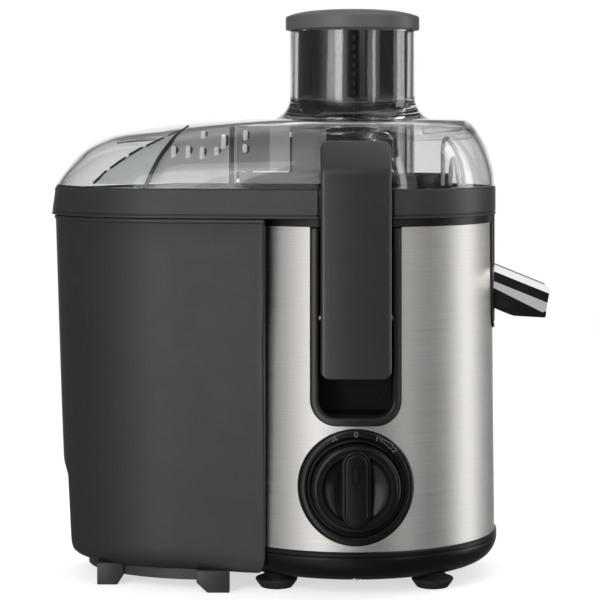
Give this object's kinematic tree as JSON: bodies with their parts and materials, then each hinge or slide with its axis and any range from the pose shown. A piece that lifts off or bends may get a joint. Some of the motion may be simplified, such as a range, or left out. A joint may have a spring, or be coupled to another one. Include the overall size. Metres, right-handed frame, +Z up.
{
  "type": "centrifugal juicer",
  "caption": "Centrifugal juicer: steel motor base with a dial, side pulp container, clear lid with a feed tube and pusher, locking levers and a spout",
  "frame": {"origin": "under the middle of the outline seen from above, on the plane the feet stand on; the motor axis is at X = +32.5 mm", "axes": "+X to the spout, -Y to the front with the dial, +Z up"},
  "size_m": [0.307, 0.1996, 0.3467],
  "materials": {
    "cap_plastic": "satin mid-grey plastic",
    "smoky_plastic": "dark smoky plastic",
    "clear_plastic": "clear, slightly smoky copolymer",
    "grey_plastic": "satin dark grey plastic",
    "black_plastic": "satin black plastic",
    "steel_skin": "steel, brushed round the body",
    "bright_steel": "plain turned or pressed steel",
    "spout_chrome": "bright plated",
    "seal_rubber": "soft silicone",
    "black_rubber": "soft black rubber",
    "laminations": "varnished steel laminations",
    "copper": "enamelled copper",
    "bracket_metal": "die cast",
    "brass_parts": "stamped brass",
    "carbon": "carbon block",
    "fan_plastic": "natural nylon",
    "board": "glass-fibre board with components",
    "pointer_white": "pale printed inlay"
  },
  "bodies": {
    "base": {"lid_seal": "seal_rubber", "lever_pins": "bright_steel", "lever_bezel_front": "grey_plastic", "lever_bezel_rear": "grey_plastic", "lever_pocket_front": "black_plastic", "lever_pocket_rear": "black_plastic", "juice_collector": "grey_plastic", "spout_cover": "spout_chrome", "spout_trough": "black_plastic", "outlet_trim": "black_plastic", "base_housing": "black_plastic", "motor_cover": "black_plastic", "steel_skin": "steel_skin", "base_pan": "black_plastic", "suction_feet": "black_rubber", "base_screws": "bright_steel", "dial_ring": "black_plastic", "switch_body": "black_plastic", "motor_stator": "laminations", "field_coils": "copper", "bracket_top": "bracket_metal", "bracket_bottom": "bracket_metal", "bearing_top": "bright_steel", "bearing_bottom": "bright_steel", "carbon_brushes": "carbon", "brush_holders": "brass_parts", "motor_mounts": "black_rubber", "shaft_seal": "black_rubber", "control_board": "board", "interlock_switch": "black_plastic", "cord_gland": "black_rubber"},
    "rotor": {"motor_shaft": "bright_steel", "armature": "laminations", "armature_windings": "copper", "commutator": "copper", "cooling_fan": "fan_plastic", "drive_coupling": "black_plastic", "basket_hub": "black_plastic", "filter_basket": "bright_steel", "basket_rim": "black_plastic", "grater_disc": "bright_steel"},
    "knob": {"knob": "black_plastic", "knob_pointer": "pointer_white", "switch_shaft": "bright_steel"},
    "lever_front": {"lever_front": "grey_plastic"},
    "lever_rear": {"lever_rear": "grey_plastic"},
    "lid": {"lid": "clear_plastic"},
    "pusher": {"pusher_cap": "cap_plastic", "pusher_body": "smoky_plastic"},
    "pulp_container": {"pulp_container": "grey_plastic"}
  },
  "joints": [
    {"name": "motor_spin", "type": "hinge", "parent": "base", "child": "rotor", "pos_m": [0.0325, 0, 0.1], "axis": [0, 0, 1], "continuous": true},
    {"name": "knob_turn", "type": "hinge", "parent": "base", "child": "knob", "pos_m": [0.0325, -0.09, 0.065], "axis": [0, 1, 0], "range_deg": [-24, 46]},
    {"name": "lever_front_open", "type": "hinge", "parent": "base", "child": "lever_front", "pos_m": [0.0325, -0.0825, 0.163], "axis": [1, 0, 0], "range_deg": [0, 45]},
    {"name": "lever_rear_open", "type": "hinge", "parent": "base", "child": "lever_rear", "pos_m": [0.0325, 0.0825, 0.163], "axis": [-1, 0, 0], "range_deg": [0, 45]},
    {"name": "lid_lift", "type": "slide", "parent": "base", "child": "lid", "axis": [0, 0, 1], "range_m": [0, 0.07]},
    {"name": "pusher_slide", "type": "slide", "parent": "lid", "child": "pusher", "axis": [0, 0, 1], "range_m": [0, 0.13]},
    {"name": "container_slide", "type": "slide", "parent": "base", "child": "pulp_container", "axis": [-1, 0, 0], "range_m": [0, 0.12]}
  ],
  "couplings": [
    {"joint": "lever_rear_open", "follows": "lever_front_open", "ratio": 1},
    {"joint": "lid_lift", "follows": "lever_front_open", "m_per_rad": 0.0891}
  ]
}
